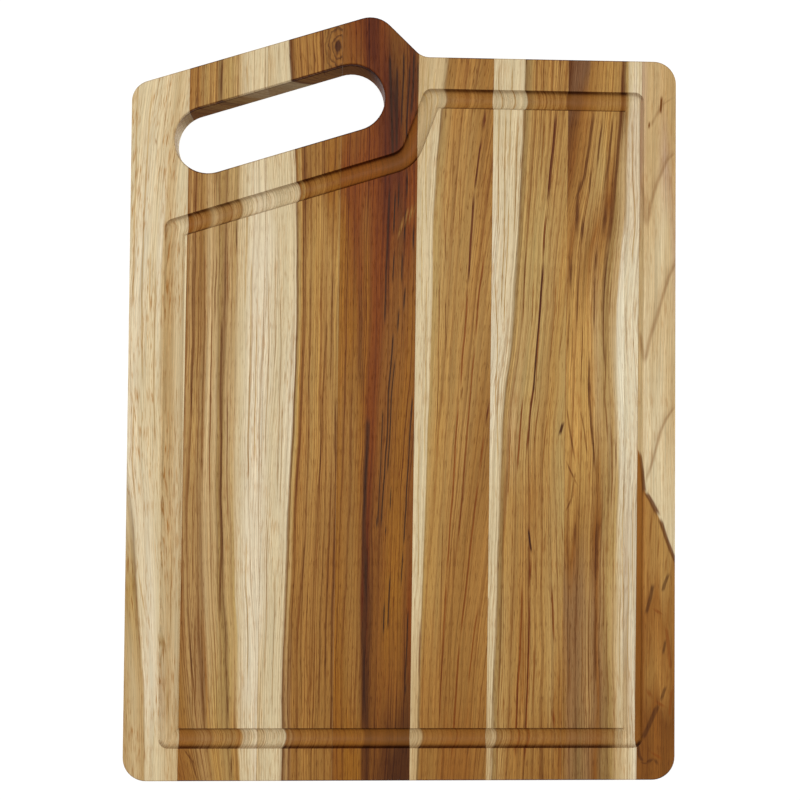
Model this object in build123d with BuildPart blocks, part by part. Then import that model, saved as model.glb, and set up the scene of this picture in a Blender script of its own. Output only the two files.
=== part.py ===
"""Edge-grain hardwood cutting board with a slanted carrying handle, a hand slot and a juice groove.

The board lies flat, cutting side up. Its frame has +X to the right across the staves, +Y along the
staves towards the handle and +Z up. The origin is on the underside, in the middle of the overall box.
Millimetres and degrees throughout.
"""

import math
import os

from build123d import *

# Overall size
WIDTH = 356.0
OVERALL_LENGTH = 495.5
BODY_LENGTH = 470.0
THICKNESS = 25.0
EDGE_ROUND = 1.5

# Outline: the handle's edge climbs from the left side to a rounded peak, then falls to the body's end
CORNER_RADIUS = 15.0
HANDLE_TILT = 17.55
HANDLE_PEAK_X = -23.6
HANDLE_PEAK_RADIUS = 18.0
HANDLE_FALL = 43.9
HANDLE_OUTER_RADIUS = 14.0
SHOULDER_RADIUS = 12.0

# Hand slot, parallel to the handle's edge
RAIL_WIDTH = 26.6
SLOT_WIDTH = 43.0
SLOT_LENGTH = 140.8
SLOT_CENTRE_X = -82.1

# Juice groove, cut with a round-nose cutter; the insets run from the board's edges to its centre line
GROOVE_RADIUS = 6.35
GROOVE_DEPTH = 6.0
GROOVE_EASE = 0.5
GROOVE_LEFT_INSET = 28.9
GROOVE_RIGHT_INSET = 27.8
GROOVE_NEAR_INSET = 27.3
GROOVE_FAR_INSET = 27.5
GROOVE_HANDLE_INSET = 97.1
# Beside the handle the groove drops away from the far edge and bends into the run below the slot
GROOVE_DROP_X = 16.7
GROOVE_DROP_ANGLE = 69.3
GROOVE_DROP_RADIUS = 19.0

# Glue lines: where each one crosses halfway up the body, from left to right, and the lean they share
GLUE_LINE_X = (-141.7, -91.5, -43.2, 6.7, 56.0, 105.2, 154.0)
GLUE_LINE_LEAN = 0.31
GLUE_THICKNESS = 0.2

# The hand slot divides these staves and glue lines, counted from the left
DIVIDED_STAVES = (2, 3)
DIVIDED_GLUE_LINES = (1, 2, 3)

# How far a dividing strip reaches past the board on every side
MARGIN = 20.0
# Sketches on this plane are measured from the middle of the near edge, on the underside
NEAR_EDGE = Plane(origin=(0, -OVERALL_LENGTH / 2, 0))

half_width = WIDTH / 2
tilt = math.radians(HANDLE_TILT)
fall = math.radians(HANDLE_FALL)
drop = math.radians(GROOVE_DROP_ANGLE)
across_handle = Vector(-math.sin(tilt), math.cos(tilt))
across_fall = Vector(math.sin(fall), math.cos(fall))
down_drop = Vector(-math.cos(drop), -math.sin(drop))

# The handle's two edges are tangent to the peak's arc
peak_centre = Vector(HANDLE_PEAK_X, OVERALL_LENGTH - HANDLE_PEAK_RADIUS)
handle_edge_distance = peak_centre.dot(across_handle) + HANDLE_PEAK_RADIUS
fall_edge_distance = peak_centre.dot(across_fall) + HANDLE_PEAK_RADIUS


def on_handle_line(inset, x):
    """The point at x on the line that runs parallel to the handle's edge, inset from it."""
    return Vector(x, (handle_edge_distance - inset - x * across_handle.X) / across_handle.Y)


def glue_line_x(middle_x, y):
    """Where the glue line that crosses halfway up the body at middle_x stands at y."""
    return middle_x + math.tan(math.radians(GLUE_LINE_LEAN)) * (y - BODY_LENGTH / 2)


def outline_corners():
    """The board's corners with their radii, counter-clockwise from the near left."""
    peak_reach = HANDLE_PEAK_RADIUS / (1 + across_handle.dot(across_fall))
    shoulder_x = (fall_edge_distance - BODY_LENGTH * across_fall.Y) / across_fall.X
    return [
        (Vector(-half_width, 0), CORNER_RADIUS),
        (Vector(half_width, 0), CORNER_RADIUS),
        (Vector(half_width, BODY_LENGTH), CORNER_RADIUS),
        (Vector(shoulder_x, BODY_LENGTH), SHOULDER_RADIUS),
        (peak_centre + (across_handle + across_fall) * peak_reach, HANDLE_PEAK_RADIUS),
        (on_handle_line(0, -half_width), HANDLE_OUTER_RADIUS),
    ]


def groove_corners():
    """The corners of the groove's centre line with their radii, counter-clockwise from the near left."""
    left = -half_width + GROOVE_LEFT_INSET
    right = half_width - GROOVE_RIGHT_INSET
    drop_top = Vector(GROOVE_DROP_X, BODY_LENGTH - GROOVE_FAR_INSET)
    drop_height = handle_edge_distance - GROOVE_HANDLE_INSET - drop_top.dot(across_handle)
    drop_foot = drop_top + down_drop * (drop_height / down_drop.dot(across_handle))
    return [
        (Vector(left, GROOVE_NEAR_INSET), 0),
        (Vector(right, GROOVE_NEAR_INSET), 0),
        (Vector(right, drop_top.Y), 0),
        (drop_top, 0),
        (drop_foot, GROOVE_DROP_RADIUS),
        (on_handle_line(GROOVE_HANDLE_INSET, left), 0),
    ]


def closed_line(corners):
    """Draws the closed line through corners, which are points on the current plane with their radii."""
    points = [(point.X, point.Y) for point, _ in corners]
    FilletPolyline(points, radius=[radius for _, radius in corners], close=True)


slot_centre = on_handle_line(RAIL_WIDTH + SLOT_WIDTH / 2, SLOT_CENTRE_X)

# All that the round-nose cutter passes through: a tube along each run and a ball where two runs meet
with BuildPart() as groove_cutter:
    with BuildLine(NEAR_EDGE.offset(THICKNESS + GROOVE_RADIUS - GROOVE_DEPTH)) as groove:
        closed_line(groove_corners())
    for run in groove.edges():
        with BuildSketch(run ^ 0):
            Circle(GROOVE_RADIUS)
        sweep(path=run)
    with Locations(groove.vertices()):
        Sphere(GROOVE_RADIUS)

# The glued-up panel, which is shaped whole and then divided into its staves and glue lines
with BuildPart() as panel:
    with BuildSketch(NEAR_EDGE):
        with BuildLine():
            closed_line(outline_corners())
        make_face()
        with Locations(slot_centre):
            SlotOverall(SLOT_LENGTH, SLOT_WIDTH, rotation=HANDLE_TILT, mode=Mode.SUBTRACT)
    extrude(amount=THICKNESS)
    fillet(panel.faces().filter_by(Axis.Z).edges(), radius=EDGE_ROUND)
    add(groove_cutter.part, mode=Mode.SUBTRACT)
    groove_rims = panel.edges(Select.LAST).filter_by_position(Axis.Z, THICKNESS, THICKNESS)
    fillet(groove_rims, radius=GROOVE_EASE)


def strip_corners(left, right, low, high):
    """The corners of the strip between two leaning lines; low and high give y on each of its sides."""
    return [
        (glue_line_x(left, low[0]), low[0]),
        (glue_line_x(right, low[1]), low[1]),
        (glue_line_x(right, high[1]), high[1]),
        (glue_line_x(left, high[0]), high[0]),
    ]


def make_piece(name, left, right, half="whole"):
    """The panel between two leaning lines, whole or on one side of the hand slot's centre line."""
    slot_inset = RAIL_WIDTH + SLOT_WIDTH / 2
    middle = [on_handle_line(slot_inset, x).Y for x in (left, right)]
    near = [-MARGIN] * 2 if half != "rail" else middle
    far = [OVERALL_LENGTH + MARGIN] * 2 if half != "body" else middle
    with BuildPart() as piece:
        add(panel.part)
        with BuildSketch(NEAR_EDGE):
            with BuildLine():
                Polyline(strip_corners(left, right, near, far), close=True)
            make_face()
        extrude(amount=THICKNESS, mode=Mode.INTERSECT)
    piece.part.label = name
    export_step(piece.part, f"parts/{name}.step")


def make_pieces(name, left, right, divided):
    """One node, or its body piece and its handle rail piece where the hand slot divides it."""
    if divided:
        make_piece(f"{name}_body", left, right, "body")
        make_piece(f"{name}_rail", left, right, "rail")
    else:
        make_piece(name, left, right)


os.makedirs("parts", exist_ok=True)
half_glue = GLUE_THICKNESS / 2
stave_sides = [-half_width - MARGIN, *GLUE_LINE_X, half_width + MARGIN]

for number, (left_line, right_line) in enumerate(zip(stave_sides, stave_sides[1:]), start=1):
    make_pieces(f"stave_{number}", left_line + half_glue, right_line - half_glue, number in DIVIDED_STAVES)

for number, line in enumerate(GLUE_LINE_X, start=1):
    glue_name = f"glue_line_{number}_{number + 1}"
    make_pieces(glue_name, line - half_glue, line + half_glue, number in DIVIDED_GLUE_LINES)
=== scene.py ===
"""Looks for the edge-grain cutting board: oiled teak staves, their glue lines, a pale floor and soft light.

Every stave is a block of solid wood in its shader: its colours run through the thickness, so the top,
the groove, the hand slot, the sides and the end grain all cut the same growth rings.
"""

import math

import bmesh
import bpy
from mathutils import Matrix, Vector


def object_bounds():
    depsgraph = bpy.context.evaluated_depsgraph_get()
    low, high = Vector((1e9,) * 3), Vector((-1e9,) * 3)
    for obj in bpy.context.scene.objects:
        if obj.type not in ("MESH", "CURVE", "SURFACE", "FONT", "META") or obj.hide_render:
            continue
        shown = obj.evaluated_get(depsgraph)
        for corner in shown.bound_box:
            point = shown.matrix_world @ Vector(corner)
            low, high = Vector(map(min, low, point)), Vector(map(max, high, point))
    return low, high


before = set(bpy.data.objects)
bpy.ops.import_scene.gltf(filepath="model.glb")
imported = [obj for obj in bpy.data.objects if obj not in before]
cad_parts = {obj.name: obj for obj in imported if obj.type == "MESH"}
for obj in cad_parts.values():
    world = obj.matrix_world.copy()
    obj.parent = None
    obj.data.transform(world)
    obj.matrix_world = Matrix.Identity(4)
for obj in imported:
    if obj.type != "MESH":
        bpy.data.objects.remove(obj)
cad_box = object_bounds()
low, high = cad_box

# Places on the board are in millimetres: x from its centre line, y from its near edge, depth from its top
MM = 1000
NEAR_EDGE = low.y * MM
TOP = high.z * MM

# Where the grain curves are written down: their node takes and gives numbers from 0 to 1
CURVE_LENGTH = 520
CURVE_HALF_WIDTH = 200
# The grain runs at its natural width halfway up the body
MIDDLE = 235

# Tones of teak, as sRGB, from the palest sapwood to the darkest line in the heartwood
PEARL = "e6dcbe"
IVORY = "dccdae"
CREAM = "d4c199"
SAND = "c8ae80"
BUFF = "c0a271"
BEIGE = "b8997a"
TAN = "b99864"
STRAW = "b6965a"
WHEAT = "af8b51"
BRASS = "bf9450"
GOLD = "b48a48"
HONEY = "ac8346"
FAWN = "a98450"
OLIVE = "a0804a"
AMBER = "a57638"
OCHRE = "996c31"
DRAB = "8c6c3e"
HAZEL = "916b40"
RUSSET = "925f25"
COPPER = "94601b"
CHESTNUT = "86531c"
PLUM = "7a5434"
BROWN = "764716"
SIENNA = "7c3e08"
UMBER = "663a12"
SEPIA = "5c2604"
WALNUT = "4e290c"
BARK = "3a1e0c"

# Tones that the wood is multiplied by where lines, pores and flecks darken it, along the darker rims of cut
# faces, and on walls across the grain, where oil and painted shade darken it
LINE_STAIN = "a27a48"
PORE_STAIN = "9a6c3c"
FLECK_STAIN = "c89a58"
DARK_RIM_STAIN = "78502f"
END_GRAIN_SHADE_STAIN = "ccc4bc"
# The tones that a freshly cut groove turns towards, and that walls across the grain turn towards where oil
# and painted shade darken them
FRESH_CUT = "ac7030"
OILED_END_SHADE = "614b3c"
# Set glue, from its thin places to the specks in it
GLUE_THIN = "a67d4c"
GLUE_THICK = "7d5430"
GLUE_SPECK = "5e3a20"

# The light table, the light round the board and the lamp above it, in metres and watts
FLOOR_HALF_SIDE = 6.0
FLOOR_GLOW = 0.95
HORIZON_GLOW = 1.0
SKY_GLOW = 0.67
LAMP_POWER = 12
LAMP_SIZE = 1.2
LAMP_PLACE = (-0.1, 0.35, 1.9)

# The camera and what it looks at on the board's top face, in metres, and its turn about its own axis
CAMERA_X = -0.03745
CAMERA_Y = -0.02646
CAMERA_HEIGHT = 0.83539
TARGET_X = -0.0026
TARGET_Y = -0.0026
CAMERA_ROLL = math.radians(0.47)
LENS = 58.05
SENSOR = 36.0


def linear(tone):
    """The linear colour of an sRGB tone written as six hexadecimal digits."""
    channels = [int(tone[i:i + 2], 16) / 255 for i in (0, 2, 4)]
    return [c / 12.92 if c <= 0.04045 else ((c + 0.055) / 1.055) ** 2.4 for c in channels] + [1]


class Graph:
    """Adds nodes to a node tree. Most methods add one node and return the socket that carries its result."""

    def __init__(self, tree):
        self.tree = tree

    def node(self, kind, inputs=None, **settings):
        """Adds a shader node, sets its properties and then its inputs, which are sockets or values."""
        made = self.tree.nodes.new("ShaderNode" + kind)
        for name, value in settings.items():
            setattr(made, name, value)
        for key, value in (inputs or {}).items():
            if isinstance(value, bpy.types.NodeSocket):
                self.tree.links.new(value, made.inputs[key])
            else:
                made.inputs[key].default_value = value
        return made

    def math(self, operation, *values):
        return self.node("Math", dict(enumerate(values)), operation=operation).outputs[0]

    def plus(self, first, second):
        return self.math("ADD", first, second)

    def minus(self, first, second):
        return self.math("SUBTRACT", first, second)

    def times(self, first, second):
        return self.math("MULTIPLY", first, second)

    def smooth(self, value, start, end):
        """0 up to start and 1 from end, with a smooth step between them; start may be above end."""
        inputs = {"Value": value, "From Min": start, "From Max": end}
        return self.node("MapRange", inputs, interpolation_type="SMOOTHSTEP").outputs[0]

    def between(self, value, start, end):
        """0 up to start and 1 from end, in proportion between them."""
        inputs = {"Value": value, "From Min": start, "From Max": end}
        return self.node("MapRange", inputs).outputs[0]

    def spread(self, value, start, end):
        """A value from 0 to 1 spread over the range from start to end."""
        inputs = {"Value": value, "To Min": start, "To Max": end}
        return self.node("MapRange", inputs, clamp=False).outputs[0]

    def combine(self, x, y, z):
        return self.node("CombineXYZ", {"X": x, "Y": y, "Z": z}).outputs[0]

    def noise(self, place, size, detail=2.0, roughness=0.5, offset=0.0):
        """Noise from 0 to 1 whose features measure size, an (x, y, z) in millimetres."""
        stretch = self.node("Mapping", {
            "Vector": place, "Scale": [1 / s for s in size], "Location": [offset] * 3,
        })
        return self.node("TexNoise", {
            "Vector": stretch.outputs[0], "Scale": 1.0, "Detail": detail, "Roughness": roughness,
        }).outputs[0]

    def mix(self, factor, first, second, blend="MIX"):
        """The colour first turning into second, or blended with it, by factor."""
        made = self.node("Mix", data_type="RGBA", blend_type=blend)
        # The node has inputs for every kind of data: these are its factor and its two colours
        sockets = made.inputs[0], made.inputs[6], made.inputs[7]
        for socket, value in zip(sockets, (factor, first, second)):
            if isinstance(value, bpy.types.NodeSocket):
                self.tree.links.new(value, socket)
            else:
                socket.default_value = value
        return made.outputs[2]

    def stain(self, factor, colour, tone):
        """The colour multiplied by a tone, as far as factor says."""
        return self.mix(factor, colour, linear(tone), "MULTIPLY")


def make_streak_group():
    """A node group that draws one soft line in the grain, between two heights, and gives its strength."""
    tree = bpy.data.node_groups.new("streak", "ShaderNodeTree")
    inputs = "Across", "Along", "Slope", "Start", "Low", "High", "Half width", "Edge", "Fade", "Strength"
    for name in inputs:
        tree.interface.new_socket(name, in_out="INPUT", socket_type="NodeSocketFloat")
    tree.interface.new_socket("Mask", in_out="OUTPUT", socket_type="NodeSocketFloat")
    graph = Graph(tree)
    given = tree.nodes.new("NodeGroupInput").outputs
    middle = graph.math("MULTIPLY_ADD", given["Along"], given["Slope"], given["Start"])
    distance = graph.math("ABSOLUTE", graph.minus(given["Across"], middle))
    inside = graph.minus(given["Half width"], given["Edge"])
    side = graph.smooth(distance, given["Half width"], inside)
    from_low = graph.minus(given["Along"], given["Low"])
    from_high = graph.minus(given["High"], given["Along"])
    ends = graph.smooth(graph.math("MINIMUM", from_low, from_high), 0.0, given["Fade"])
    mask = graph.times(graph.times(side, ends), given["Strength"])
    tree.links.new(mask, tree.nodes.new("NodeGroupOutput").inputs["Mask"])
    return tree


streak_group = make_streak_group()


def darken_end_grain_and_shade(graph, colour, end_grain_and_shade):
    """The colour on walls cut across the grain: darker and greyer where the oil soaks in, and darker still
    by painted shade that stands in for the light these walls miss.
    """
    colour = graph.stain(end_grain_and_shade, colour, END_GRAIN_SHADE_STAIN)
    return graph.mix(graph.times(end_grain_and_shade, 0.45), colour, linear(OILED_END_SHADE))


class Wood(Graph):
    """The material of one stave, built up from its grain lines, its bands of colour and its streaks.

    Two guide lines give the way its grain runs, each as the (y, x) points that it passes through. All
    colour follows them: bands are set out along x at some heights y, and streaks from point to point.
    """

    def __init__(self, name, left, right, tilt=0.5, curl=0.008):
        self.material = bpy.data.materials.new(name)
        self.material.use_nodes = True
        self.material.node_tree.nodes.clear()
        super().__init__(self.material.node_tree)
        self.place_in_wood(tilt, curl)
        self.left_line, self.left_x = self.guide(left)
        self.right_line, self.right_x = self.guide(right)
        from_left = self.minus(self.x, self.left_x)
        gap = self.minus(self.right_x, self.left_x)
        scaled = self.math("DIVIDE", self.math("MAXIMUM", from_left, 0.0), gap)
        beside = self.math("MINIMUM", from_left, 0.0)
        self.gap = self.guides_at(MIDDLE)[1] - self.guides_at(MIDDLE)[0]
        self.across = self.math("MULTIPLY_ADD", scaled, self.gap, beside)
        self.grain = self.combine(self.across, self.y, self.depth)
        self.colour = None

    def place_in_wood(self, tilt, curl):
        """Where the shaded point is: y, depth, and x traced up the slanting rings to the top face."""
        texture = self.node("TexCoord")
        split = self.node("SeparateXYZ", {"Vector": texture.outputs["Object"]})
        x, y, z = (self.times(split.outputs[axis], MM) for axis in "XYZ")
        self.y = self.minus(y, NEAR_EDGE)
        self.depth = self.minus(TOP, z)
        ring_x = self.math("MULTIPLY_ADD", self.depth, -tilt, x)
        bow = self.times(self.times(self.depth, self.depth), curl)
        still = self.combine(self.minus(ring_x, bow), self.y, self.depth)
        wave = self.noise(still, (45, 130, 60), detail=1.0)
        ripple = self.noise(still, (9, 34, 25), detail=1.0, offset=3.0)
        bend = self.plus(self.spread(wave, -2.2, 2.2), self.spread(ripple, -0.7, 0.7))
        self.x = self.plus(self.minus(ring_x, bow), bend)

    def guide(self, points):
        """A smooth line through (y, x) points: its curve, for working out places, and its x socket."""
        node = self.node("FloatCurve", {"Value": self.math("DIVIDE", self.y, CURVE_LENGTH)})
        curve = node.mapping.curves[0]
        for _ in points[2:]:
            curve.points.new(0.5, 0.5)
        spots = [(y / CURVE_LENGTH, x / CURVE_HALF_WIDTH / 2 + 0.5) for y, x in points]
        for point, spot in zip(curve.points, spots):
            point.location = spot
        node.mapping.update()
        node.mapping.initialize()
        wide = self.math("MULTIPLY_ADD", node.outputs[0], 2 * CURVE_HALF_WIDTH, -CURVE_HALF_WIDTH)
        return node.mapping, wide

    def guides_at(self, y):
        """Where the two guide lines are at y."""
        return [
            (line.evaluate(line.curves[0], y / CURVE_LENGTH) * 2 - 1) * CURVE_HALF_WIDTH
            for line in (self.left_line, self.right_line)
        ]

    def across_at(self, x, y):
        """The number that self.across has at a point of the top face."""
        left, right = self.guides_at(y)
        beside = x - left
        return beside if beside < 0 else beside / (right - left) * self.gap

    def bands(self, *levels):
        """Colours across the stave at some heights: each level is y and then (x, tone) pairs in order."""
        drift = self.noise(self.grain, (9, 200, 60), detail=1.0, offset=7.0)
        height = self.plus(self.y, self.spread(drift, -45, 45))
        # The part of self.across that the ramps cover
        reach = (-60, 120)
        share = self.between(self.across, *reach)
        below = None
        for y, *tones in levels:
            ramp = self.node("ValToRGB", {"Fac": share})
            stops = ramp.color_ramp.elements
            while len(stops) < len(tones):
                stops.new(0.5)
            for stop, (x, tone) in zip(stops, tones):
                stop.position = (self.across_at(x, y) - reach[0]) / (reach[1] - reach[0])
                stop.color = linear(tone)
            if below is None:
                self.colour = ramp.outputs[0]
            else:
                self.colour = self.mix(self.between(height, below, y), self.colour, ramp.outputs[0])
            below = y

    def beside(self, line, *levels):
        """Other bands of colour, on the left of a line through some (y, x) points."""
        before = self.colour
        self.bands(*levels)
        line_x = self.guide(line)[1]
        side = self.smooth(self.minus(self.x, line_x), 0.5, -0.5)
        self.colour = self.mix(side, before, self.colour)

    def streaks(self, tone, *lines, strength=1.0, edge=0.6, fade=14):
        """Streaks of one tone: each line is its half width and the (x, y) points that it passes through.

        Edge is the share of the half width over which a streak's sides fade, and fade the length in
        millimetres over which its ends do.
        """
        total = None
        # A line with more points is a chain of straight pieces that fade into each other
        for half_width, *points in lines:
            for index, ((x_0, y_0), (x_1, y_1)) in enumerate(zip(points, points[1:])):
                first, last = self.across_at(x_0, y_0), self.across_at(x_1, y_1)
                unit = abs(self.across_at(x_0 + 1, y_0) - first)
                slope = (last - first) / (y_1 - y_0)
                soft = min(fade, abs(y_1 - y_0) / 2)
                lap = math.copysign(soft, y_1 - y_0)
                start = y_0 - lap if index > 0 else y_0
                end = y_1 + lap if index < len(points) - 2 else y_1
                group = self.node("Group", {
                    "Across": self.across, "Along": self.y, "Slope": slope, "Start": first - slope * y_0,
                    "Low": min(start, end), "High": max(start, end), "Half width": half_width * unit,
                    "Edge": half_width * unit * edge, "Fade": soft, "Strength": strength,
                }, node_tree=streak_group)
                mask = group.outputs[0]
                total = mask if total is None else self.math("MAXIMUM", total, mask)
        place = self.combine(self.x, self.y, self.depth)
        broken = self.spread(self.noise(place, (0.8, 22, 4), detail=2.0, offset=11.0), 0.6, 1.6)
        factor = self.times(total, self.math("MINIMUM", broken, 1.0))
        self.colour = self.mix(factor, self.colour, linear(tone))

    def knot(self, x, y, width, length, tone):
        """A small knot with its centre at (x, y), and the rings that bend round it."""
        place = self.combine(self.x, self.y, self.depth)
        bend = self.spread(self.noise(place, (3, 6, 8), detail=2.0, offset=23.0), -0.45, 0.45)
        aside = self.math("DIVIDE", self.minus(self.x, x), width)
        along = self.math("DIVIDE", self.minus(self.y, y), length)
        square = self.math("MULTIPLY_ADD", aside, aside, self.times(along, along))
        away = self.plus(self.math("SQRT", square), bend)
        ring = self.math("FRACT", self.times(away, 1.7))
        rings = self.times(self.smooth(ring, 0.35, 0.85), self.smooth(ring, 1.0, 0.9))
        rings = self.times(rings, self.smooth(away, 3.4, 1.4))
        whole = self.math("MAXIMUM", self.times(rings, 0.75), self.smooth(away, 0.8, 0.4))
        self.colour = self.mix(whole, self.colour, linear(tone))

    def growth_lines(self, spacing, wander, offset, thick):
        """Long thin lines, about spacing apart, each dark to its own degree, and each line's own number."""
        drift = self.noise(self.grain, (14, 420, 40), detail=2.0, offset=offset)
        phase = self.math("MULTIPLY_ADD", self.across, 1 / spacing, self.times(drift, wander))
        ring = self.math("FLOOR", phase)
        within = self.minus(phase, ring)
        own = self.node("TexWhiteNoise", {"W": ring}, noise_dimensions="1D").outputs["Value"]
        line = self.times(self.smooth(within, 0.95 - thick, 0.92), self.smooth(within, 1.0, 0.93))
        return self.times(line, self.math("POWER", own, 1.3)), own

    def add_rings(self, rings, spacing):
        """Darkens the growth lines, and makes the wood between them lighter or darker from line to line."""
        broad, own_tone = self.growth_lines(spacing, 3.0, 2.0, thick=0.42)
        narrow, narrow_tone = self.growth_lines(spacing * 0.38, 7.0, 21.0, thick=0.6)
        self.thread = self.noise(self.grain, (0.6, 60, 8), detail=2.0, roughness=0.65, offset=5.0)
        self.mottle = self.noise(self.grain, (11, 60, 20), detail=2.0, offset=9.0)
        lines = self.math("MAXIMUM", broad, self.times(narrow, 0.85))
        lines = self.times(self.times(lines, rings), self.spread(self.mottle, 0.2, 1.8))
        lines = self.times(lines, self.spread(self.heart, 0.65, 1.0))
        self.colour = self.stain(lines, self.colour, LINE_STAIN)
        shade = self.spread(self.smooth(self.thread, 0.25, 0.75), 0.93, 1.27)
        shade = self.times(shade, self.spread(self.mottle, 0.9, 1.1))
        shade = self.times(shade, self.spread(own_tone, 0.94, 1.05))
        shade = self.times(shade, self.spread(narrow_tone, 0.95, 1.05))
        self.colour = self.mix(1.0, self.colour, self.combine(shade, shade, shade), "MULTIPLY")

    def add_pores(self, pores, flecks):
        """Darkens the open pores, which the bump uses too, and the short flecks between them."""
        vessel = self.noise(self.grain, (0.42, 8, 0.42), detail=2.0, offset=13.0)
        self.pore = self.times(self.smooth(vessel, 0.56, 0.7), pores)
        stained = self.times(self.pore, self.spread(self.heart, 0.5, 1.0))
        self.colour = self.stain(stained, self.colour, PORE_STAIN)
        dash = self.noise(self.grain, (0.6, 12, 3), detail=2.0, roughness=0.6, offset=17.0)
        fleck = self.times(self.smooth(dash, 0.47, 0.72), flecks)
        fleck = self.times(fleck, self.smooth(self.mottle, 0.3, 0.6))
        self.colour = self.stain(fleck, self.colour, FLECK_STAIN)

    def add_cuts(self):
        """Changes the colour in the groove, darkens walls cut across the grain with oil and painted shade,
        and darkens their rims.
        """
        geometry = self.node("NewGeometry")
        normal = self.node("SeparateXYZ", {"Vector": geometry.outputs["True Normal"]})
        cut_across = self.math("ABSOLUTE", normal.outputs["Y"])
        steep = self.smooth(normal.outputs["Z"], 0.05, 0.02)
        # Steep walls cut across the grain: real end grain, and also the mask for the painted shade below
        self.end_grain_and_shade = self.times(self.smooth(cut_across, 0.25, 0.9), steep)
        level = self.smooth(normal.outputs["Z"], 0.2, 0.6)
        hollow = self.times(level, self.smooth(self.depth, 1.2, 4.0))
        fresh = self.times(hollow, self.spread(self.heart, 0.0, 0.36))
        self.colour = self.mix(fresh, self.colour, linear(FRESH_CUT))
        # Painted shade: walls across the grain are darkened for the light they miss, on top of their real
        # oil-darkened end grain
        self.colour = darken_end_grain_and_shade(self, self.colour, self.end_grain_and_shade)
        # Darker bands along the rims of faces cut across the grain, down to about 5 mm deep, stronger in
        # heartwood
        rim = self.times(self.smooth(self.depth, 0.03, 0.25), self.smooth(self.depth, 4.8, 2.0))
        rim = self.times(rim, self.smooth(cut_across, 0.1, 0.6))
        dark_rim = self.times(rim, self.spread(self.heart, 0.4, 0.9))
        self.colour = self.stain(dark_rim, self.colour, DARK_RIM_STAIN)

    def finish(self, rings=0.5, spacing=3.2, pores=0.6, flecks=0.4):
        """Adds what all the wood has, each to its given strength, and makes the shader."""
        # How much the wood is heartwood, judged by how dark it is
        light = self.node("RGBToBW", {"Color": self.colour}).outputs[0]
        self.heart = self.smooth(light, 0.42, 0.16)
        self.add_rings(rings, spacing)
        self.add_pores(pores, flecks)
        self.add_cuts()
        # The bump depends on nothing made from the colour: Cycles would work all of that out three times
        fibre = self.noise(self.grain, (0.18, 14, 0.18), detail=2.0, offset=19.0)
        height = self.math("MULTIPLY_ADD", fibre, 0.35, self.times(self.thread, 0.4))
        height = self.minus(height, self.times(self.pore, 0.9))
        bump = self.node("Bump", {"Height": height, "Strength": 0.6, "Distance": 0.00012})
        sheen = self.plus(self.spread(self.mottle, 0.4, 0.48), self.times(self.pore, 0.25))
        shader = self.node("BsdfPrincipled", {
            "Base Color": self.colour,
            "Roughness": self.math("MULTIPLY_ADD", self.end_grain_and_shade, 0.2, sheen),
            "Normal": bump.outputs[0],
            "Specular IOR Level": self.spread(self.end_grain_and_shade, 0.12, 0.0),
        })
        self.node("OutputMaterial", {"Surface": shader.outputs[0]})
        return self.material


def stave_1_wood():
    """Cream sapwood full of golden flecks, and a wedge of heartwood at the left of its near end."""
    wood = Wood(
        "stave_1_wood",
        [(0, -164), (60, -165.5), (90, -167), (120, -169.5), (145, -171.7), (175, -174.5), (205, -178.5),
         (300, -181), (380, -177), (440, -171), (500, -164)],
        [(0, -143), (120, -142.5), (300, -141.5), (380, -139), (440, -133), (500, -126)],
        tilt=0.3,
    )
    wood.bands(
        (15, (-178, TAN), (-170, SAND), (-164.5, TAN), (-163, CREAM), (-155, CREAM), (-148, SAND),
         (-142, SAND)),
        (60, (-178, TAN), (-172, SAND), (-166, TAN), (-164.5, IVORY), (-158, IVORY), (-153, BUFF),
         (-147, CREAM), (-142, SAND)),
        (120, (-178, WHEAT), (-173, STRAW), (-170.5, DRAB), (-169, CREAM), (-161, IVORY), (-156, CREAM),
         (-152, SAND), (-147, CREAM), (-142, SAND)),
        (235, (-178, IVORY), (-170, CREAM), (-162, CREAM), (-158.5, CREAM), (-156.5, SAND), (-154, BUFF),
         (-151.5, SAND), (-149.5, CREAM), (-142, CREAM)),
        (340, (-178, CREAM), (-171, IVORY), (-162, CREAM), (-158, IVORY), (-156.5, SAND), (-154, BUFF),
         (-151.5, SAND), (-149.5, CREAM), (-142, CREAM)),
        (440, (-178, TAN), (-174, CREAM), (-165, CREAM), (-155, CREAM), (-148, SAND), (-141, CREAM)),
    )
    wood.streaks(
        TAN, (0.7, (-173, 460), (-174.5, 400), (-174.5, 300)),
        (0.7, (-164, 450), (-168.5, 380), (-168.5, 250)), (0.6, (-174, 250), (-172.5, 175)),
        (0.6, (-161, 330), (-160.5, 210)), (0.6, (-165, 345), (-165, 300)),
        (0.6, (-170.5, 140), (-163, 100)), strength=0.75,
    )
    wood.streaks(
        OLIVE, (1.1, (-156, 97), (-153.5, 78)), (0.5, (-151, 160), (-151, 90)),
        (0.6, (-153, 60), (-152, 36)), strength=0.7,
    )
    wood.streaks(RUSSET, (0.6, (-161.7, 414), (-161.3, 408)), strength=0.6, fade=3)
    return wood.finish(rings=0.5, pores=0.35, flecks=0.95)


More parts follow.
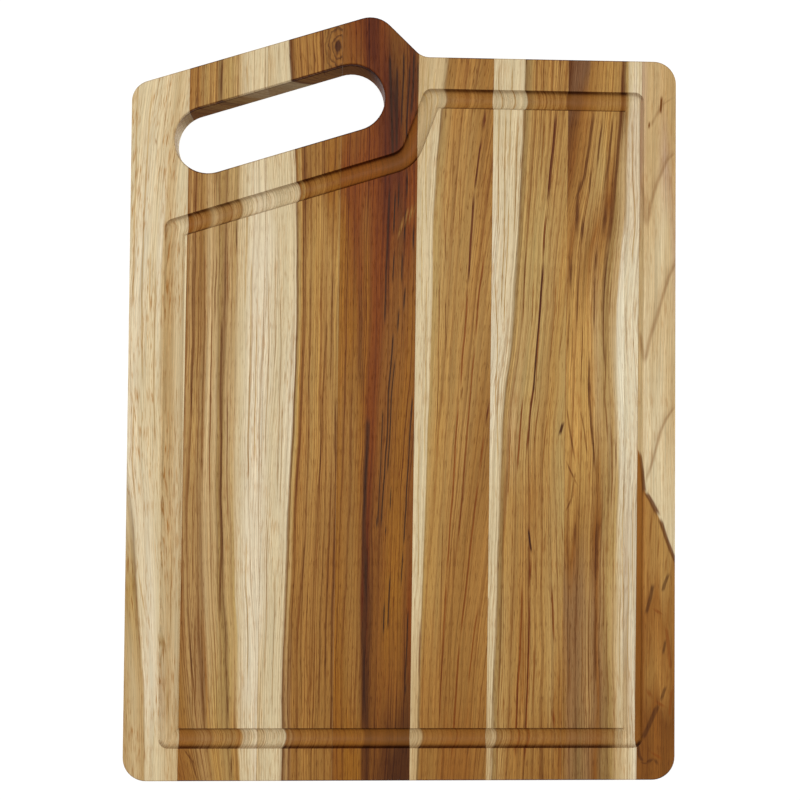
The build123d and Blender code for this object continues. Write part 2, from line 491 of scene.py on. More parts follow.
def stave_2_wood():
    """Brown and golden heartwood that meets pinkish sapwood near its right side."""
    wood = Wood(
        "stave_2_wood",
        [(0, -128), (60, -137), (130, -141.5), (300, -142), (500, -141)],
        [(0, -102.5), (40, -104), (80, -105), (130, -108.3), (240, -109), (500, -109.3)],
        tilt=0.4,
    )
    wood.bands(
        (15, (-142, RUSSET), (-134, OCHRE), (-127, FAWN), (-118, GOLD), (-112, WHEAT), (-108.5, OLIVE),
         (-107, HONEY), (-103.4, HONEY), (-102.6, CREAM), (-98, CREAM), (-92, IVORY)),
        (60, (-142, OCHRE), (-135, FAWN), (-127, HAZEL), (-125.4, RUSSET), (-124.4, TAN), (-121, STRAW),
         (-113.5, OLIVE), (-111.5, DRAB), (-110, STRAW), (-106, TAN), (-104.8, SAND), (-99, IVORY),
         (-92, IVORY)),
        (120, (-141.8, CHESTNUT), (-140, FAWN), (-131, FAWN), (-128.5, HAZEL), (-127.3, BUFF),
         (-123.5, TAN), (-120.5, TAN), (-118.5, OLIVE), (-116.5, DRAB), (-114, TAN), (-108.5, STRAW),
         (-107.5, CREAM), (-101, IVORY), (-92, IVORY)),
        (235, (-141.7, CHESTNUT), (-140.3, FAWN), (-135, WHEAT), (-131, FAWN), (-128.5, FAWN), (-127, SAND),
         (-123, BUFF), (-120.5, SAND), (-119.3, OLIVE), (-117, HAZEL), (-116, OLIVE), (-113, BUFF),
         (-109.3, BUFF), (-108.3, SAND), (-104, CREAM), (-99, IVORY), (-92, IVORY)),
        (340, (-141, CHESTNUT), (-139.5, FAWN), (-131, OCHRE), (-128.8, FAWN), (-127.5, BUFF),
         (-122.7, TAN), (-119.5, OLIVE), (-116, HAZEL), (-113, TAN), (-109.6, OLIVE), (-108.7, SAND),
         (-103, CREAM), (-99, IVORY), (-92, IVORY)),
        (440, (-141, RUSSET), (-138.5, AMBER), (-135, OCHRE), (-132, WHEAT), (-124, HONEY), (-121.3, DRAB),
         (-118.5, WHEAT), (-115, STRAW), (-109, TAN), (-107.5, SAND), (-105.5, CREAM), (-92, CREAM)),
    )
    wood.streaks(
        BROWN, (0.8, (-129.6, 345), (-129.4, 190)), (0.6, (-133, 110), (-132, 40)),
        (0.7, (-129.5, 110), (-128, 60), (-125, 36)), (0.6, (-122.5, 345), (-122.3, 290)),
        (0.6, (-137, 340), (-137, 230)), (0.5, (-133.5, 330), (-133.7, 250)),
        (0.5, (-134, 200), (-134.5, 120)), (0.5, (-113, 250), (-113, 160)),
        (0.5, (-115, 350), (-114.8, 300)), (0.6, (-136, 100), (-133, 36)), strength=0.7,
    )
    wood.streaks(
        UMBER, (1.1, (-120, 470), (-120.5, 434)),
        (1.0, (-118, 300), (-117, 200), (-117.4, 150), (-117.3, 100)), (0.6, (-109.7, 365), (-109.6, 335)),
        (0.7, (-112, 62), (-109.5, 33)), (0.7, (-136, 445), (-137, 432)), (0.8, (-108, 20), (-107.6, 0)),
        (0.8, (-140, 22), (-134, 14), (-130, 0)), strength=0.8,
    )
    wood.streaks(RUSSET, (0.6, (-124.5, 300), (-124.3, 180)), strength=0.6)
    wood.streaks(
        TAN, (0.7, (-103, 375), (-103.2, 300)), (0.6, (-104, 470), (-104, 440)),
        (0.5, (-96, 300), (-95.5, 200)), (0.6, (-99.5, 340), (-99.5, 190)), (0.5, (-101, 160), (-99, 60)),
        strength=0.8,
    )
    return wood.finish(rings=1.0, spacing=3.6, pores=0.6, flecks=0.55)


def stave_3_wood():
    """Cream sapwood on the left and honey-brown heartwood on the right of one sharp wavy boundary."""
    wood = Wood(
        "stave_3_wood",
        [(0, -77.2), (60, -76.3), (120, -75), (170, -73.8), (220, -72), (290, -70), (340, -69.5),
         (370, -70.3), (452, -74), (478, -75.5), (500, -77)],
        [(0, -44.5), (500, -41.9)],
        tilt=0.4,
    )
    wood.bands(
        (60, (-92, SAND), (-88, CREAM), (-76.9, CREAM), (-76.3, BROWN), (-75, HAZEL), (-73.3, FAWN),
         (-72.5, HAZEL), (-70, OCHRE), (-62, AMBER), (-58, OCHRE), (-52, OCHRE), (-45, OCHRE)),
        (120, (-92, IVORY), (-84, CREAM), (-75.6, CREAM), (-75, BROWN), (-74, OLIVE), (-73.2, TAN),
         (-71.4, GOLD), (-70.6, BROWN), (-69.5, OCHRE), (-64, AMBER), (-58, AMBER), (-52, OCHRE),
         (-45, RUSSET)),
        (235, (-92, IVORY), (-84, CREAM), (-72.4, IVORY), (-71.9, BROWN), (-71.1, DRAB), (-70.4, STRAW),
         (-68.6, GOLD), (-67.8, CHESTNUT), (-66.6, AMBER), (-60, HONEY), (-56, GOLD), (-53, AMBER),
         (-46, HONEY), (-44, OCHRE)),
        (340, (-92, IVORY), (-80, CREAM), (-70.2, CREAM), (-69.6, BROWN), (-68.8, DRAB), (-68.1, STRAW),
         (-66.6, GOLD), (-65.8, BROWN), (-64.5, HONEY), (-56, GOLD), (-50, HONEY), (-46, HONEY),
         (-43.8, GOLD), (-42.8, STRAW)),
        (390, (-92, CREAM), (-84, CREAM), (-71.5, CREAM), (-70.8, BROWN), (-69.8, OCHRE), (-68.7, STRAW),
         (-67, OCHRE), (-64.5, BROWN), (-63, OCHRE), (-54, OCHRE), (-50, COPPER), (-45, COPPER),
         (-43, OCHRE)),
        (470, (-92, SAND), (-84, CREAM), (-75.7, CREAM), (-75, UMBER), (-73.6, BROWN), (-71.5, OCHRE),
         (-69, AMBER), (-60, AMBER), (-52, OCHRE), (-45, RUSSET)),
    )
    wood.streaks(
        BROWN, (0.8, (-50, 300), (-53, 240), (-53.5, 222), (-56, 180), (-57, 125), (-58.5, 50)),
        (0.6, (-61, 330), (-61.5, 240)), (0.6, (-64, 160), (-64.5, 40)), (0.7, (-46, 330), (-48, 250)),
        (0.7, (-48, 200), (-49, 60)), (0.5, (-61, 130), (-61, 60)), (0.5, (-52.5, 120), (-53, 40)),
        strength=0.75,
    )
    wood.streaks(
        UMBER, (0.6, (-59.5, 478), (-59, 458)), (0.8, (-44.5, 250), (-44.8, 20)),
        (0.7, (-45.5, 225), (-45, 205)), strength=0.8,
    )
    wood.streaks(
        OCHRE, (0.45, (-89, 330), (-88.5, 200)), (0.45, (-85, 345), (-84.5, 260)),
        (0.45, (-81, 320), (-81, 180)), (0.45, (-87, 170), (-88, 60)), (0.45, (-82, 140), (-82.5, 40)),
        (0.45, (-78.5, 250), (-79, 170)), (0.45, (-90.5, 470), (-90.5, 455)), (0.5, (-83, 480), (-83, 460)),
        strength=0.6,
    )
    wood.knot(-44.5, 475, 3.6, 7.5, WALNUT)
    return wood.finish(rings=1.0, spacing=3.4, pores=0.6, flecks=0.55)


def stave_4_wood():
    """The darkest stave: red-brown heartwood with a nearly black streak in its near half."""
    wood = Wood(
        "stave_4_wood",
        [(0, -44.5), (500, -41.9)],
        [(0, -3), (60, -1), (120, 0), (180, 2), (240, 5.5), (300, 8), (500, 9)],
        tilt=0.3,
    )
    wood.bands(
        (15, (-44, CHESTNUT), (-36, COPPER), (-30, COPPER), (-27, COPPER), (-24.5, UMBER), (-22, WALNUT),
         (-19, BROWN), (-15, UMBER), (-6, WALNUT), (5, WALNUT)),
        (60, (-44, COPPER), (-40, COPPER), (-33, OCHRE), (-27, OCHRE), (-25, UMBER), (-22, WALNUT),
         (-20, BROWN), (-15, CHESTNUT), (-4, CHESTNUT), (1, BROWN), (5, UMBER)),
        (120, (-44, COPPER), (-34, OCHRE), (-28, OCHRE), (-26, SEPIA), (-23, SEPIA), (-21, BROWN),
         (-15, CHESTNUT), (-10, COPPER), (-2, COPPER), (2, CHESTNUT), (5, SIENNA)),
        (235, (-44, COPPER), (-38, OCHRE), (-33, OCHRE), (-28, COPPER), (-24, SIENNA), (-20, SIENNA),
         (-15, CHESTNUT), (-10, CHESTNUT), (0, COPPER), (6, CHESTNUT)),
        (300, (-43, COPPER), (-38, COPPER), (-32, COPPER), (-29, SIENNA), (-25, COPPER), (-21, SIENNA),
         (-17, SIENNA), (-12, CHESTNUT), (0, CHESTNUT), (5, COPPER), (7, CHESTNUT)),
        (345, (-43, COPPER), (-38, COPPER), (-31, SIENNA), (-26, CHESTNUT), (-20, SIENNA), (-14, SIENNA),
         (-11, SEPIA), (-8, SIENNA), (-3, UMBER), (2, SIENNA), (6, CHESTNUT)),
        (385, (-42, SIENNA), (-34, SIENNA), (-27, SIENNA), (-20, SIENNA), (-13, SEPIA), (-9, SEPIA),
         (-3, SEPIA), (2, SIENNA), (7, SIENNA)),
        (440, (-42, COPPER), (-30, CHESTNUT), (-22, SIENNA), (-15, SEPIA), (-12, SEPIA), (-7, BARK),
         (-5, SEPIA), (-1, BROWN), (4, SEPIA), (8, BROWN)),
        (485, (-42, CHESTNUT), (-32, SIENNA), (-24, SEPIA), (-19, SEPIA), (-15, SIENNA), (-8, BROWN),
         (0, BROWN), (8, BROWN)),
    )
    wood.streaks(
        WALNUT, (2.0, (-23.5, 236), (-25, 200), (-25, 165), (-23.5, 118), (-25, 92), (-24, 60), (-22.5, 33)),
        strength=0.9, fade=8,
    )
    wood.streaks(
        BARK, (0.9, (-24.5, 222), (-25.3, 165)), (0.8, (-24, 150), (-23.5, 112)),
        (0.8, (-25, 92), (-23, 40)), strength=0.8,
    )
    wood.streaks(BROWN, (2.4, (-28.5, 330), (-29, 280), (-27, 240)), strength=0.7, fade=20)
    wood.streaks(
        BARK, (0.8, (-11, 385), (-12, 338), (-13.5, 292)), (0.7, (-7, 345), (-8.5, 318)),
        (0.7, (-1.5, 345), (-2, 318)), (0.8, (0.5, 322), (-1, 300)), (0.7, (-3.5, 308), (-5, 286)),
        (0.7, (-7.5, 292), (-9, 262), (-12, 200), (-14.5, 160)), (0.6, (-6, 275), (-8, 240), (-10.5, 195)),
        (0.6, (-13.5, 242), (-15, 200), (-16.5, 160)), (0.5, (-8, 192), (-8.5, 170)),
        (0.7, (5.5, 250), (4.5, 225), (3.5, 203), (2.2, 175), (0, 148)), (0.6, (0, 151), (-1, 122)),
        (0.7, (4.5, 112), (3, 80), (1.5, 57)), (0.9, (2.3, 66), (2, 52)), (0.7, (-12, 118), (-12.5, 90)),
        (0.7, (-8.5, 135), (-9.7, 94)), (0.5, (-11, 165), (-11.5, 156)), (0.5, (-17, 172), (-17, 160)),
        strength=0.9, fade=9,
    )
    wood.streaks(
        BARK, (1.0, (5, 477), (3, 428)), (0.8, (7.3, 470), (7.6, 440)), (0.8, (-1.5, 476), (-3.5, 420)),
        (0.7, (1.8, 468), (0, 410)), (1.0, (-10.5, 474), (-9, 400)), (0.8, (-6, 466), (-6.5, 405)),
        (0.7, (0.5, 372), (-1.5, 345)), (0.8, (-7, 384), (-8, 350)), (0.7, (5, 362), (5, 340)),
        (0.6, (-4.5, 392), (-5, 366)), (0.7, (1, 398), (0.5, 374)), strength=1.0, fade=9,
    )
    wood.streaks(
        OCHRE, (0.9, (-1, 366), (-4, 352)), (0.9, (2, 372), (-1, 356)), (0.9, (4.5, 374), (2, 358)),
        (0.9, (7, 376), (4.5, 362)), (0.7, (-3, 360), (-5.5, 348)), strength=0.85, fade=7,
    )
    return wood.finish(rings=0.9, pores=0.6, flecks=0.6)


def stave_5_wood():
    """A pale strip on the left, then honey heartwood with dark lines that fan out to the right."""
    wood = Wood(
        "stave_5_wood",
        [(0, 9.3), (70, 10.8), (150, 13.5), (250, 16), (350, 18.3), (420, 21), (470, 25.5), (500, 28)],
        [(0, 31.5), (65, 35.5), (130, 41.5), (170, 45), (245, 54.5), (355, 72), (470, 98), (500, 106)],
        tilt=0.5,
    )
    wood.bands(
        (15, (6, SAND), (9.3, BUFF), (10, DRAB), (11.5, OCHRE), (22, OCHRE), (26, RUSSET), (34, RUSSET),
         (44, RUSSET), (55, OCHRE)),
        (60, (6, SAND), (10.3, BUFF), (11.2, DRAB), (12.5, AMBER), (22, AMBER), (26, OCHRE), (34, OCHRE),
         (46, OCHRE), (55, AMBER)),
        (120, (6.5, CREAM), (12.2, CREAM), (13, OLIVE), (14.5, GOLD), (22, HONEY), (28, AMBER), (38, OCHRE),
         (46, AMBER), (55, AMBER)),
        (235, (7, CREAM), (15.4, CREAM), (16.1, STRAW), (18, WHEAT), (22, GOLD), (28, HONEY), (34, HONEY),
         (42, HONEY), (48, OCHRE), (56, OCHRE)),
        (340, (7.5, CREAM), (17.8, CREAM), (18.6, WHEAT), (20, STRAW), (24, WHEAT), (34, HONEY),
         (41, HONEY), (48, AMBER), (56, HONEY)),
        (425, (8, SAND), (21.2, CREAM), (22.2, DRAB), (25, WHEAT), (30, AMBER), (42, HONEY), (50, OCHRE),
         (57, OCHRE)),
        (465, (8, BUFF), (16, SAND), (25.4, SAND), (26.4, DRAB), (28, OCHRE), (40, AMBER), (50, OCHRE),
         (57, OCHRE)),
    )
    wood.streaks(
        SEPIA, (1.3, (52.5, 440), (50.5, 418)), (0.9, (50.5, 420), (47.5, 400), (45, 380)),
        (1.1, (45, 385), (42.5, 350), (41, 318)), (0.9, (55.8, 250), (52, 225)), strength=0.95,
    )
    wood.streaks(
        SIENNA, (0.9, (41, 322), (39, 285), (36, 250)), (0.8, (35, 247), (32.5, 200), (29, 130)),
        (0.7, (29, 132), (26.5, 90), (24, 34)), (0.8, (52, 345), (48.5, 310), (46.5, 282)),
        (0.8, (46.5, 284), (42, 240), (39, 200), (35.5, 150)), (0.9, (52, 227), (48, 195)),
        (0.8, (48, 197), (44.5, 160), (41.5, 130), (38, 90)), (0.8, (38, 92), (34, 50), (32.5, 12)),
        (0.6, (50, 116), (46, 85), (42.5, 58)), strength=0.85,
    )
    wood.streaks(
        BROWN, (0.5, (25.5, 376), (26.5, 328)), (0.5, (26, 317), (26.5, 273)),
        (0.6, (25.5, 437), (25.5, 428)), (0.5, (36, 400), (34, 350)), (0.5, (31, 420), (30, 380)),
        (0.9, (38, 256), (36, 243)), (0.5, (26, 170), (24, 60)), (0.5, (33, 120), (30, 40)),
        (0.5, (22, 330), (21, 220)), (0.6, (11.8, 105), (10.8, 60)), strength=0.75,
    )
    wood.streaks(
        STRAW, (0.5, (11, 470), (11.5, 400)), (0.5, (15, 470), (14.5, 350)), (0.5, (18.5, 465), (17.5, 430)),
        (0.45, (11.5, 390), (11, 300)), (0.45, (14, 330), (13.5, 200)), (0.45, (10, 240), (10, 120)),
        strength=0.7,
    )
    return wood.finish(rings=0.7, spacing=4.4, pores=0.6, flecks=0.45)


def stave_6_wood():
    """A pale strip on the left and golden heartwood with a strong reddish line down its middle."""
    wood = Wood(
        "stave_6_wood",
        [(0, 56.5), (40, 58.5), (90, 59.5), (180, 61), (250, 64.5), (280, 69), (320, 71.5), (380, 75.5),
         (470, 79), (500, 80)],
        [(0, 80), (60, 81), (180, 81.5), (230, 82), (255, 84), (290, 87), (335, 90), (390, 94.5),
         (436, 97.5), (500, 101)],
        tilt=0.5,
    )
    wood.bands(
        (15, (55, BUFF), (58.5, SAND), (59.3, DRAB), (61.5, OLIVE), (63, WHEAT), (71, AMBER), (80, OCHRE),
         (92, OCHRE), (97, OCHRE), (104, RUSSET)),
        (60, (55, SAND), (58.8, CREAM), (59.6, DRAB), (61.5, OLIVE), (63, WHEAT), (71, HONEY), (77, AMBER),
         (84, HONEY), (92, HONEY), (97, WHEAT), (98.5, OCHRE), (104, AMBER)),
        (120, (56, CREAM), (60.6, CREAM), (61.3, DRAB), (63.5, OLIVE), (65.5, WHEAT), (71, HONEY),
         (77, AMBER), (84, HONEY), (90, HONEY), (97, WHEAT), (105, HONEY)),
        (180, (56, CREAM), (61.8, CREAM), (62.5, DRAB), (64.5, OLIVE), (66, GOLD), (72, HONEY), (78, HONEY),
         (84, AMBER), (92, HONEY), (99, WHEAT), (104, STRAW)),
        (235, (56, IVORY), (63.8, CREAM), (64.6, DRAB), (67, WHEAT), (68.5, TAN), (72, TAN), (78, STRAW),
         (84, STRAW), (90, HONEY), (96, GOLD), (103, STRAW), (106, GOLD)),
        (340, (57, IVORY), (72.2, CREAM), (73, DRAB), (75, OLIVE), (76.3, STRAW), (78, STRAW), (83, STRAW),
         (90, STRAW), (97, WHEAT), (105, GOLD)),
        (425, (57, CREAM), (76.4, CREAM), (77.2, DRAB), (79.2, OLIVE), (81, WHEAT), (83, HONEY),
         (90, HONEY), (98, HONEY), (106, HONEY)),
        (465, (57, CREAM), (70, CREAM), (77.6, CREAM), (78.6, DRAB), (82, OLIVE), (84, HONEY), (90, AMBER),
         (98, HONEY), (106, AMBER)),
    )
    wood.streaks(
        SEPIA, (1.1, (97.5, 440), (95.5, 410), (92.5, 372)), (1.1, (90.5, 340), (87.5, 300), (85, 262)),
        strength=0.95,
    )
    wood.streaks(
        SIENNA, (0.8, (92.5, 372), (90, 335)), (0.8, (85, 264), (82, 228), (80.5, 210)),
        (0.8, (78, 252), (76, 225), (74, 195)), (0.9, (81, 168), (83.4, 145)), (0.9, (83.4, 147), (82, 122)),
        (0.9, (77.5, 130), (76, 80), (75, 60), (74, 12)), (0.8, (82, 122), (81.5, 60), (80, 8)),
        (0.9, (96.5, 130), (98.5, 85)), (0.9, (98, 50), (98.5, 30)), strength=0.9,
    )
    wood.streaks(
        WALNUT, (1.3, (104.5, 233), (102, 222)), (0.8, (81.3, 163), (83.6, 146)),
        (0.6, (86, 275), (84, 250)), fade=4,
    )
    wood.streaks(
        CHESTNUT, (0.6, (90.5, 437), (88, 385)), (0.6, (90, 437), (88.5, 400)), (0.7, (70, 235), (68, 180)),
        (0.5, (88, 300), (84.5, 235)), (0.5, (99, 330), (95, 265)), (0.5, (104, 300), (101, 268)),
        (0.6, (89, 250), (85, 205)), (0.6, (95, 240), (91, 195)), (0.5, (70.5, 165), (71.5, 145)),
        (0.5, (86, 150), (87, 120)), (0.5, (66, 60), (66, 36)), (0.6, (78, 110), (78.5, 40)),
        (0.6, (85.5, 90), (85, 40)), (0.5, (93, 165), (92, 145)), (0.5, (84, 330), (82, 290)),
        (0.5, (103.5, 170), (105, 150)), (0.5, (79, 345), (77, 290)), strength=0.8,
    )
    wood.streaks(
        WHEAT, (0.5, (61, 468), (60.5, 350)), (0.5, (65.5, 440), (63.5, 300)), (0.5, (70, 470), (68, 390)),
        (0.5, (73.5, 430), (71, 350)), (0.5, (68, 380), (65, 290)), (0.45, (59.5, 330), (59.5, 230)),
        (0.45, (62.5, 270), (61, 200)), strength=0.85,
    )
    return wood.finish(rings=1.0, spacing=3.8, pores=0.6, flecks=0.6)


def stave_7_wood():
    """Brown heartwood with dark patches towards the far end, and pale sapwood along the right side."""
    wood = Wood(
        "stave_7_wood",
        [(0, 104.5), (200, 105), (300, 107), (340, 109), (370, 113), (392, 117), (410, 119.5), (437, 123),
         (470, 126), (500, 129)],
        [(0, 140), (60, 139.5), (170, 140), (210, 141), (250, 140.3), (300, 138.5), (320, 139.3),
         (345, 141.5), (365, 143.5), (400, 144.3), (470, 146.3), (500, 146.5)],
        tilt=0.3,
        curl=0.004,
    )
    wood.bands(
        (15, (104, OCHRE), (108, HAZEL), (114, DRAB), (121, HAZEL), (126, CHESTNUT), (129, DRAB),
         (136, OLIVE), (139, BUFF), (142, SAND), (148, CREAM), (152, IVORY)),
        (60, (104, OCHRE), (108, HAZEL), (114, HAZEL), (121, FAWN), (125.5, HAZEL), (127, CHESTNUT),
         (129, HAZEL), (135, OLIVE), (138, TAN), (141, CREAM), (145, SAND), (149, IVORY), (152, PEARL)),
        (120, (104.5, HAZEL), (110, HAZEL), (116, HAZEL), (121, FAWN), (124, HAZEL), (126, CHESTNUT),
         (129, FAWN), (133, STRAW), (137, TAN), (140, SAND), (144, IVORY), (149, PEARL), (153, IVORY)),
        (160, (104.5, OCHRE), (112, CHESTNUT), (114, OCHRE), (121, HONEY), (124, CHESTNUT), (128, CHESTNUT),
         (130, OLIVE), (134, WHEAT), (138, STRAW), (141, CREAM), (146, IVORY), (153, IVORY)),
        (195, (104.5, HONEY), (110, GOLD), (118, GOLD), (123, HONEY), (127, OCHRE), (129, WHEAT),
         (134, OLIVE), (137, TAN), (140, STRAW), (141.5, IVORY), (146, PEARL), (153, IVORY)),
        (235, (105, GOLD), (112, BRASS), (118, BRASS), (121.5, BRASS), (126, TAN), (131, WHEAT), (134, TAN),
         (136.5, WHEAT), (139.5, CREAM), (140.6, PEARL), (145, PEARL), (153, PEARL)),
        (290, (105.3, GOLD), (112, BRASS), (119, BRASS), (126, TAN), (130.5, STRAW), (132.5, WHEAT),
         (136, BUFF), (138.4, TAN), (139.6, IVORY), (144, PEARL), (154, PEARL)),
        (340, (105.5, AMBER), (108, RUSSET), (112, HONEY), (119, OCHRE), (122, RUSSET), (127, AMBER),
         (130.5, HONEY), (132, DRAB), (135, OLIVE), (140.5, BUFF), (141.8, IVORY), (149, PEARL),
         (154, IVORY)),
        (385, (106, CHESTNUT), (110, OCHRE), (114, AMBER), (118, HONEY), (122, WHEAT), (129, STRAW),
         (132, CHESTNUT), (136, CHESTNUT), (138.5, OLIVE), (141, TAN), (144, BUFF), (145.2, IVORY),
         (154, IVORY)),
        (430, (106.2, UMBER), (110.5, BROWN), (114, RUSSET), (121, AMBER), (125, HONEY), (133, GOLD),
         (139, HONEY), (141.3, BROWN), (143, DRAB), (145, BUFF), (146.2, IVORY), (154, IVORY)),
        (460, (106.5, UMBER), (110, PLUM), (119, PLUM), (120.3, OCHRE), (124, AMBER), (132, GOLD),
         (141, HONEY), (142.4, BROWN), (144, DRAB), (145.6, STRAW), (147, CREAM), (154.5, CREAM)),
    )
    wood.streaks(
        UMBER, (1.1, (123.5, 440), (120.5, 415), (117, 395), (112.5, 382), (111.5, 360)),
        (0.8, (129, 435), (125, 395)), (0.9, (136, 437), (134, 410), (131, 386)),
        (1.2, (142.5, 470), (141, 430), (138.5, 400), (135.5, 370), (133, 345)),
        (0.7, (133, 347), (131, 262)), (0.7, (121.5, 402), (119.5, 375)),
        (0.9, (120.7, 280), (120.5, 250), (122, 225), (124.5, 195)), strength=0.85,
    )
    wood.streaks(
        UMBER, (1.8, (112.5, 380), (112, 350)), (1.4, (116.5, 370), (115.5, 346)),
        (1.8, (132, 380), (129, 350)), (1.2, (126, 350), (124.5, 325)), (1.4, (108.5, 345), (107.5, 315)),
        (0.7, (125, 335), (124, 288)), (0.8, (103, 308), (102.3, 290)), (1.3, (120.7, 262), (120.7, 246)),
        (1.8, (126.5, 172), (125.5, 125)), (1.1, (112.5, 170), (112, 148)), (0.9, (126, 118), (126, 60)),
        strength=0.85,
    )
    wood.streaks(
        BROWN, (0.7, (106, 245), (109, 225), (112.5, 203)), (0.6, (115, 240), (117.5, 225), (119.5, 208)),
        (0.7, (125.5, 215), (124.5, 178)), (0.7, (106, 208), (111.5, 195), (110, 182), (106, 172)),
        (0.6, (138, 225), (138.5, 198)), (0.8, (135, 235), (135.5, 170)), (0.6, (136, 330), (134, 300)),
        (0.7, (132, 290), (131, 250), (133, 215)), (0.6, (107.5, 310), (106.5, 270)),
        (0.5, (110, 300), (109.5, 262)), (0.6, (113, 335), (112, 290)), (0.5, (116, 300), (115.5, 250)),
        (0.5, (109, 110), (108, 50)), (0.5, (117, 110), (117, 50)), (0.5, (121, 120), (121.5, 50)),
        (0.5, (133, 110), (134, 40)), (0.6, (130.5, 160), (131, 90)), strength=0.7,
    )
    wood.streaks(
        TAN, (0.5, (148, 440), (148, 330)), (0.5, (151, 320), (151, 290)), (0.5, (144, 200), (144, 90)),
        (0.5, (147, 150), (147, 60)), (0.5, (142, 130), (142, 50)), (0.5, (150, 190), (150, 100)),
        strength=0.8,
    )
    return wood.finish(rings=0.9, spacing=3.4, pores=0.6, flecks=0.6)


def stave_8_wood():
    """Pale wood with V-shaped figure, cut off by brown heartwood that fills the near right corner."""
    wood = Wood("stave_8_wood", [(0, 152.7), (500, 155.4)], [(0, 178), (500, 178)], tilt=0.3)
    wood.bands(
        (150, (153.6, SAND), (160, CREAM), (178, CREAM)),
        (235, (153.9, SAND), (158, CREAM), (168, CREAM), (173, SAND), (178, BUFF)),
        (290, (154.2, SAND), (158, CREAM), (163, SAND), (170, SAND), (178, SAND)),
        (340, (154.5, SAND), (158, SAND), (168, CREAM), (173, SAND), (178, BEIGE)),
        (400, (155, BEIGE), (159, BUFF), (166, BUFF), (171, BEIGE), (178, TAN)),
        (450, (155, BEIGE), (160, BUFF), (168, BUFF), (172, TAN), (178, TAN)),
    )
    wood.streaks(
        HAZEL, (1.9, (178, 341), (172, 327), (166, 306), (161, 286), (157.5, 268)),
        (2.2, (154, 294), (157.5, 268)), (1.7, (178, 244), (172, 235), (168, 226), (163, 208), (158.5, 192)),
        (2.0, (178, 411), (172, 404), (166, 390), (161, 375), (158, 358)), (1.8, (156, 392), (158, 358)),
        strength=0.58, edge=0.9, fade=8,
    )
    wood.streaks(
        HAZEL, (4.6, (178, 343), (171, 330), (165, 309), (160, 288), (157, 272)),
        (4.0, (178, 246), (171, 237), (166.5, 228), (161.5, 210), (157.5, 196)),
        (4.4, (178, 413), (171, 406), (165, 393), (160, 378), (157.5, 362)), strength=0.4, edge=2.0, fade=12,
    )
    wood.streaks(HAZEL, (2.2, (177, 447), (169, 441), (160, 424)), strength=0.5, edge=1.2, fade=6)
    wood.streaks(BROWN, (1.0, (168.8, 448), (168.0, 434)), (0.8, (160.8, 431), (160.3, 424)), fade=4)
    wood.beside(
        [(0, 196), (120, 188), (136, 180), (146, 175.5), (157, 171.5), (170, 166.8), (180, 162), (187, 158),
         (200, 156), (211, 153.5), (225, 148), (500, 148)],
        (20, (153, CHESTNUT), (157, BROWN), (165, CHESTNUT), (172, BROWN), (178, CHESTNUT)),
        (42, (153, BROWN), (157, BROWN), (163, CHESTNUT), (170, BROWN), (178, BROWN)),
        (65, (153, BROWN), (157, CHESTNUT), (159, OCHRE), (168, AMBER), (178, CHESTNUT)),
        (115, (153, BROWN), (156.5, CHESTNUT), (158.5, RUSSET), (168, RUSSET), (178, OCHRE)),
        (138, (153, CHESTNUT), (157, RUSSET), (158.5, AMBER), (170, HONEY), (178, OCHRE)),
        (180, (153, RUSSET), (156.8, RUSSET), (158.5, AMBER), (170, HONEY), (178, HONEY)),
    )
    wood.streaks(
        UMBER, (1.9, (153.5, 214), (156, 200), (157.8, 184)), (2.2, (157.6, 188), (162.3, 180), (167, 170)),
        (1.8, (166.8, 171), (171, 157.5), (175, 147), (179, 138)), strength=0.9, fade=5,
    )
    wood.streaks(
        WALNUT, (1.6, (163.5, 128), (161.5, 117), (158.5, 106)), (1.6, (174, 135), (171, 127), (169.5, 121)),
        (1.2, (171.5, 92), (169.5, 80)), (1.4, (172, 62), (168.5, 50)),
        (2.2, (167.5, 50), (161, 35), (156, 25)), (1.5, (153.3, 25), (154.5, 16), (157, 11.5)),
        (2.2, (156, 12), (160, 10)), (2.4, (159, 10), (164, 15)), (1.4, (164.5, 15), (167, 9)), strength=0.7,
        fade=4,
    )
    wood.streaks(
        SIENNA, (2.2, (165, 52), (172, 46)), (1.2, (176, 60), (174, 40)), (2.0, (163, 112), (170, 106)),
        (1.5, (172, 100), (175, 70)), (1.6, (160, 60), (163, 52)), (2.0, (160, 20), (172, 12)), strength=0.6,
        fade=4,
    )
    wood.streaks(
        CHESTNUT, (0.8, (163, 175), (161.5, 150)), (0.7, (167, 160), (166, 140)),
        (0.7, (172, 148), (170.5, 130)), (0.8, (160, 140), (160, 120)), (0.8, (174, 120), (173, 96)),
        (0.7, (161.5, 100), (160.5, 70)), strength=0.6, fade=8,
    )
    return wood.finish(rings=0.45, spacing=3.0, pores=0.4, flecks=0.5)


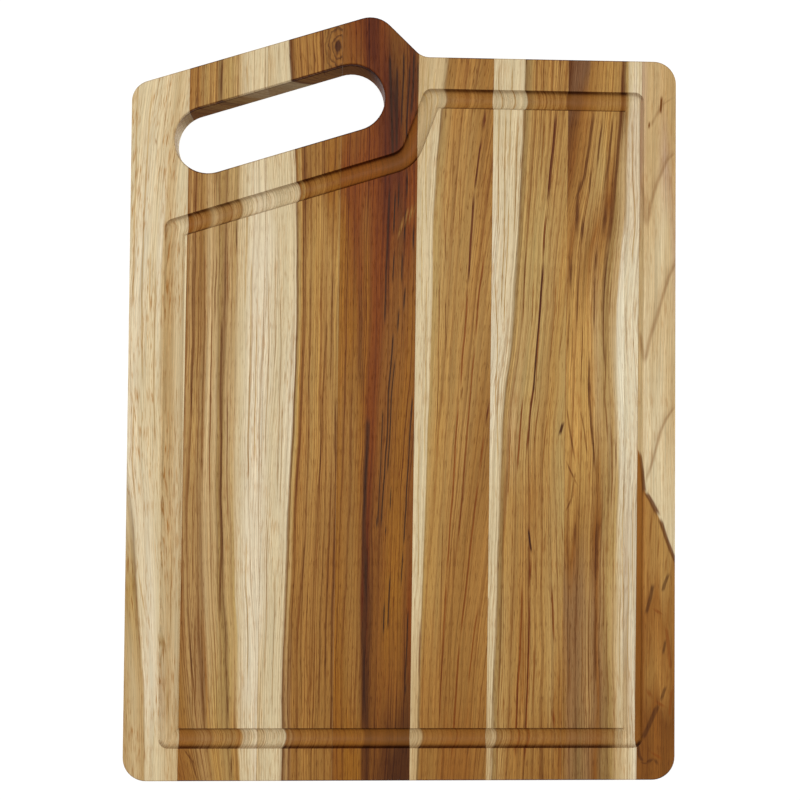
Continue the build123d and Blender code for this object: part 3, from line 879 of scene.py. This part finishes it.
def glue_material():
    """Set wood glue between two staves: an amber film, paler where it is thin, with dark specks."""
    material = bpy.data.materials.new("set_glue")
    material.use_nodes = True
    material.node_tree.nodes.clear()
    graph = Graph(material.node_tree)
    texture = graph.node("TexCoord")
    inputs = {0: texture.outputs["Object"], 1: [MM] * 3}
    place = graph.node("VectorMath", inputs, operation="MULTIPLY")
    thin = graph.noise(place.outputs[0], (3, 38, 5), detail=3.0)
    speckle = graph.noise(place.outputs[0], (0.5, 1.6, 0.5), detail=2.0, offset=4.0)
    colour = graph.mix(graph.smooth(thin, 0.35, 0.65), linear(GLUE_THICK), linear(GLUE_THIN))
    colour = graph.mix(graph.times(graph.smooth(speckle, 0.5, 0.75), 0.5), colour, linear(GLUE_SPECK))
    geometry = graph.node("NewGeometry")
    normal = graph.node("SeparateXYZ", {"Vector": geometry.outputs["True Normal"]})
    end_grain_and_shade = graph.smooth(graph.math("ABSOLUTE", normal.outputs["Y"]), 0.3, 1.0)
    # Painted shade, together with oil darkening, on glue faces cut across the grain
    colour = darken_end_grain_and_shade(graph, colour, end_grain_and_shade)
    bump = graph.node("Bump", {"Height": speckle, "Strength": 0.4, "Distance": 0.00004})
    shader = graph.node("BsdfPrincipled", {
        "Base Color": colour,
        "Roughness": graph.spread(speckle, 0.4, 0.6),
        "Normal": bump.outputs[0],
        "Specular IOR Level": 0.1,
    })
    graph.node("OutputMaterial", {"Surface": shader.outputs[0]})
    return material


def finish_board():
    """Gives every CAD node its own material: a wood for each stave and one glue for all the films."""
    makers = (
        stave_1_wood, stave_2_wood, stave_3_wood, stave_4_wood,
        stave_5_wood, stave_6_wood, stave_7_wood, stave_8_wood,
    )
    woods = {f"stave_{number}": make() for number, make in enumerate(makers, 1)}
    glue = glue_material()
    for name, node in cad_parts.items():
        node.material_slots[0].material = glue if name.startswith("glue") else woods[name[:len("stave_1")]]


def make_floor():
    """A plain pale light table that reaches far past the board on every side."""
    shape = bmesh.new()
    bmesh.ops.create_grid(shape, x_segments=12, y_segments=12, size=FLOOR_HALF_SIDE)
    mesh = bpy.data.meshes.new("floor")
    shape.to_mesh(mesh)
    shape.free()
    floor = bpy.data.objects.new("floor", mesh)
    floor.location.z = low.z
    bpy.context.scene.collection.objects.link(floor)
    material = bpy.data.materials.new("pale_floor")
    material.use_nodes = True
    shader = material.node_tree.nodes["Principled BSDF"]
    shader.inputs["Base Color"].default_value = (0.12, 0.12, 0.12, 1)
    shader.inputs["Roughness"].default_value = 0.8
    shader.inputs["Specular IOR Level"].default_value = 0.2
    shader.inputs["Emission Color"].default_value = (1, 1, 1, 1)
    shader.inputs["Emission Strength"].default_value = FLOOR_GLOW
    mesh.materials.append(material)


def make_light():
    """White light from all round, brightest at the horizon, and a large soft lamp above its far part."""
    world = bpy.data.worlds.new("studio")
    world.use_nodes = True
    graph = Graph(world.node_tree)
    texture = graph.node("TexCoord")
    height = graph.node("SeparateXYZ", {"Vector": texture.outputs["Generated"]}).outputs["Z"]
    bright = graph.spread(graph.smooth(height, 0.15, 0.4), HORIZON_GLOW, SKY_GLOW)
    background = world.node_tree.nodes["Background"]
    background.inputs["Color"].default_value = (1, 1, 1, 1)
    world.node_tree.links.new(bright, background.inputs["Strength"])
    bpy.context.scene.world = world
    lamp = bpy.data.lights.new("softbox", "AREA")
    lamp.energy = LAMP_POWER
    lamp.size = LAMP_SIZE
    softbox = bpy.data.objects.new("softbox", lamp)
    softbox.location = LAMP_PLACE
    softbox.rotation_euler = softbox.location.to_track_quat("Z", "Y").to_euler()
    bpy.context.scene.collection.objects.link(softbox)


def make_camera():
    """Looks almost straight down at the board, from a little to the left of its middle and nearer."""
    data = bpy.data.cameras.new("camera")
    data.sensor_width = SENSOR
    data.lens = LENS
    data.clip_start = 0.01
    data.clip_end = 50
    camera = bpy.data.objects.new("camera", data)
    place = Vector((CAMERA_X, CAMERA_Y, high.z + CAMERA_HEIGHT))
    target = Vector((TARGET_X, TARGET_Y, high.z))
    back = (place - target).normalized()
    right = Vector((0, 1, 0)).cross(back).normalized()
    up = back.cross(right)
    facing = Matrix((right, up, back)).transposed()
    rolled = facing @ Matrix.Rotation(CAMERA_ROLL, 3, "Z")
    camera.matrix_world = Matrix.Translation(place) @ rolled.to_4x4()
    bpy.context.scene.collection.objects.link(camera)
    bpy.context.scene.camera = camera


finish_board()
make_floor()
make_light()
make_camera()
bpy.context.scene.view_settings.view_transform = "Standard"
